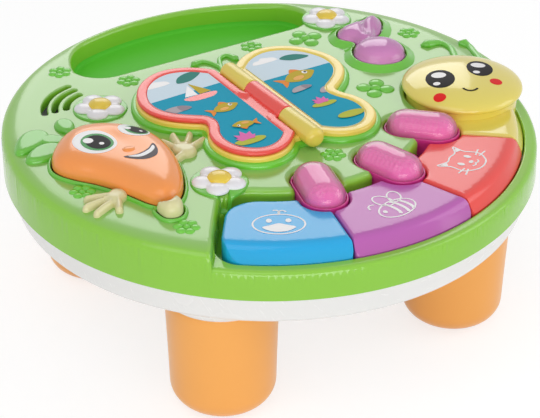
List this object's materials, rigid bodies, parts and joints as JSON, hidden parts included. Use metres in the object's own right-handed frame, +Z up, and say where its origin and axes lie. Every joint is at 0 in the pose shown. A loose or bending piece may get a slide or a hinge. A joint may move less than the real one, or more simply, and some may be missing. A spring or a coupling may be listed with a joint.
{
  "type": "musical_activity_table",
  "caption": "Round toddler music table on stubby legs with pressable fan keys, light buttons, a turning picture page and a storage tray",
  "frame": {"origin": "on the floor under the middle of the table", "axes": "+Z up; -Y is the side with the keyboard, where the child sits; +X is to the child's right"},
  "size_m": [0.38, 0.38, 0.1646],
  "materials": {
    "shell_green": "smooth glossy moulding",
    "base_white": "smooth satin moulding",
    "leg_orange": "smooth satin moulding",
    "steel": "zinc plated",
    "key_blue": "smooth glossy, printed line art",
    "key_lilac": "smooth glossy, printed line art",
    "key_red": "smooth glossy, printed line art",
    "yellow": "smooth glossy, printed face",
    "clear_pink": "see-through tint over a lattice",
    "bezel_pink": "smooth glossy",
    "violet": "see-through tint, smooth",
    "carrot_orange": "smooth glossy, printed face",
    "cream": "smooth glossy",
    "book_red": "smooth glossy",
    "book_yellow": "smooth glossy",
    "print": "printed and laminated label",
    "petal_white": "smooth glossy",
    "eye_yellow": "smooth glossy",
    "black_plastic": "fine grained",
    "cone_paper": "pressed fibre",
    "magnet": "sintered, dull",
    "board": "solder-masked laminate",
    "silicone": "moulded silicone",
    "led": "clear epoxy",
    "cell": "wrapped steel can",
    "spring": "nickel plated"
  },
  "bodies": {
    "table": {"top_shell": "shell_green", "base_shell": "base_white", "leg_front_left": "leg_orange", "leg_front_right": "leg_orange", "leg_rear_left": "leg_orange", "leg_rear_right": "leg_orange", "leg_screws": "steel", "shell_screws": "steel", "key_hinge_pins": "steel", "pill_bezel": "bezel_pink", "carrot_hands": "cream", "book_base": "book_yellow", "left_picture": "print", "right_picture": "print", "book_hinge_pin": "steel", "flower_petals": "petal_white", "flower_centres": "eye_yellow", "speaker_frame": "black_plastic", "speaker_cone": "cone_paper", "speaker_magnet": "magnet", "main_board": "board", "button_boards": "board", "board_screws": "steel", "leds": "led", "dome_blue": "silicone", "dome_lilac": "silicone", "dome_red": "silicone", "dome_left": "silicone", "dome_middle": "silicone", "dome_right": "silicone", "dome_head": "silicone", "dome_radish": "silicone", "dome_carrot": "silicone", "battery_cells": "cell", "battery_contacts": "spring", "power_switch_body": "black_plastic"},
    "blue_key": {"key_blue": "key_blue"},
    "lilac_key": {"key_lilac": "key_lilac"},
    "red_key": {"key_red": "key_red"},
    "head": {"bug_head": "yellow"},
    "left_pill": {"pill_left": "clear_pink"},
    "middle_pill": {"pill_middle": "clear_pink"},
    "right_pill": {"pill_right": "clear_pink"},
    "radish": {"radish_button": "violet"},
    "carrot": {"carrot_button": "carrot_orange", "carrot_tip": "cream"},
    "page": {"book_page": "book_red", "page_picture_front": "print", "page_picture_back": "print"},
    "door": {"battery_door": "base_white", "battery_door_screw": "steel"},
    "switch": {"power_switch_knob": "black_plastic"}
  },
  "joints": [
    {"name": "blue_key_press", "type": "hinge", "parent": "table", "child": "blue_key", "pos_m": [-0.05995, -0.10683, 0.1345], "axis": [0.8721, -0.4894, 0], "range_deg": [0, 3.5], "stiffness_Nm_per_rad": 0.9, "springref_deg": -2.86, "deforming": ["dome_blue"]},
    {"name": "lilac_key_press", "type": "hinge", "parent": "table", "child": "lilac_key", "pos_m": [0.00257, -0.12247, 0.1345], "axis": [0.9998, 0.0209, 0], "range_deg": [0, 3.5], "stiffness_Nm_per_rad": 0.9, "springref_deg": -2.86, "deforming": ["dome_lilac"]},
    {"name": "red_key_press", "type": "hinge", "parent": "table", "child": "red_key", "pos_m": [0.06437, -0.10422, 0.1345], "axis": [0.8508, 0.5255, 0], "range_deg": [0, 3.5], "stiffness_Nm_per_rad": 0.9, "springref_deg": -2.86, "deforming": ["dome_red"]},
    {"name": "head_press", "type": "slide", "parent": "table", "child": "head", "axis": [0, 0, -1], "range_m": [0, 0.0022], "stiffness_N_per_m": 500, "springref_m": -0.002, "deforming": ["dome_head"]},
    {"name": "left_pill_press", "type": "slide", "parent": "table", "child": "left_pill", "axis": [0, 0, -1], "range_m": [0, 0.0022], "stiffness_N_per_m": 350, "springref_m": -0.001, "deforming": ["dome_left"]},
    {"name": "middle_pill_press", "type": "slide", "parent": "table", "child": "middle_pill", "axis": [0, 0, -1], "range_m": [0, 0.0022], "stiffness_N_per_m": 350, "springref_m": -0.001, "deforming": ["dome_middle"]},
    {"name": "right_pill_press", "type": "slide", "parent": "table", "child": "right_pill", "axis": [0, 0, -1], "range_m": [0, 0.0022], "stiffness_N_per_m": 350, "springref_m": -0.001, "deforming": ["dome_right"]},
    {"name": "radish_press", "type": "slide", "parent": "table", "child": "radish", "axis": [0, 0, -1], "range_m": [0, 0.0022], "stiffness_N_per_m": 400, "springref_m": -0.0015, "deforming": ["dome_radish"]},
    {"name": "carrot_press", "type": "slide", "parent": "table", "child": "carrot", "axis": [0, 0, -1], "range_m": [0, 0.0022], "stiffness_N_per_m": 500, "springref_m": -0.002, "deforming": ["dome_carrot"]},
    {"name": "page_turn", "type": "hinge", "parent": "table", "child": "page", "pos_m": [-0.0025, 0, 0.15745], "axis": [0, 1, 0], "range_deg": [0, 180]},
    {"name": "door_open", "type": "hinge", "parent": "table", "child": "door", "pos_m": [-0.032, 0, 0.0942], "axis": [0, 1, 0], "range_deg": [0, 60]},
    {"name": "power_slide", "type": "slide", "parent": "table", "child": "switch", "axis": [1, 0, 0], "range_m": [-0.004, 0.004]}
  ]
}
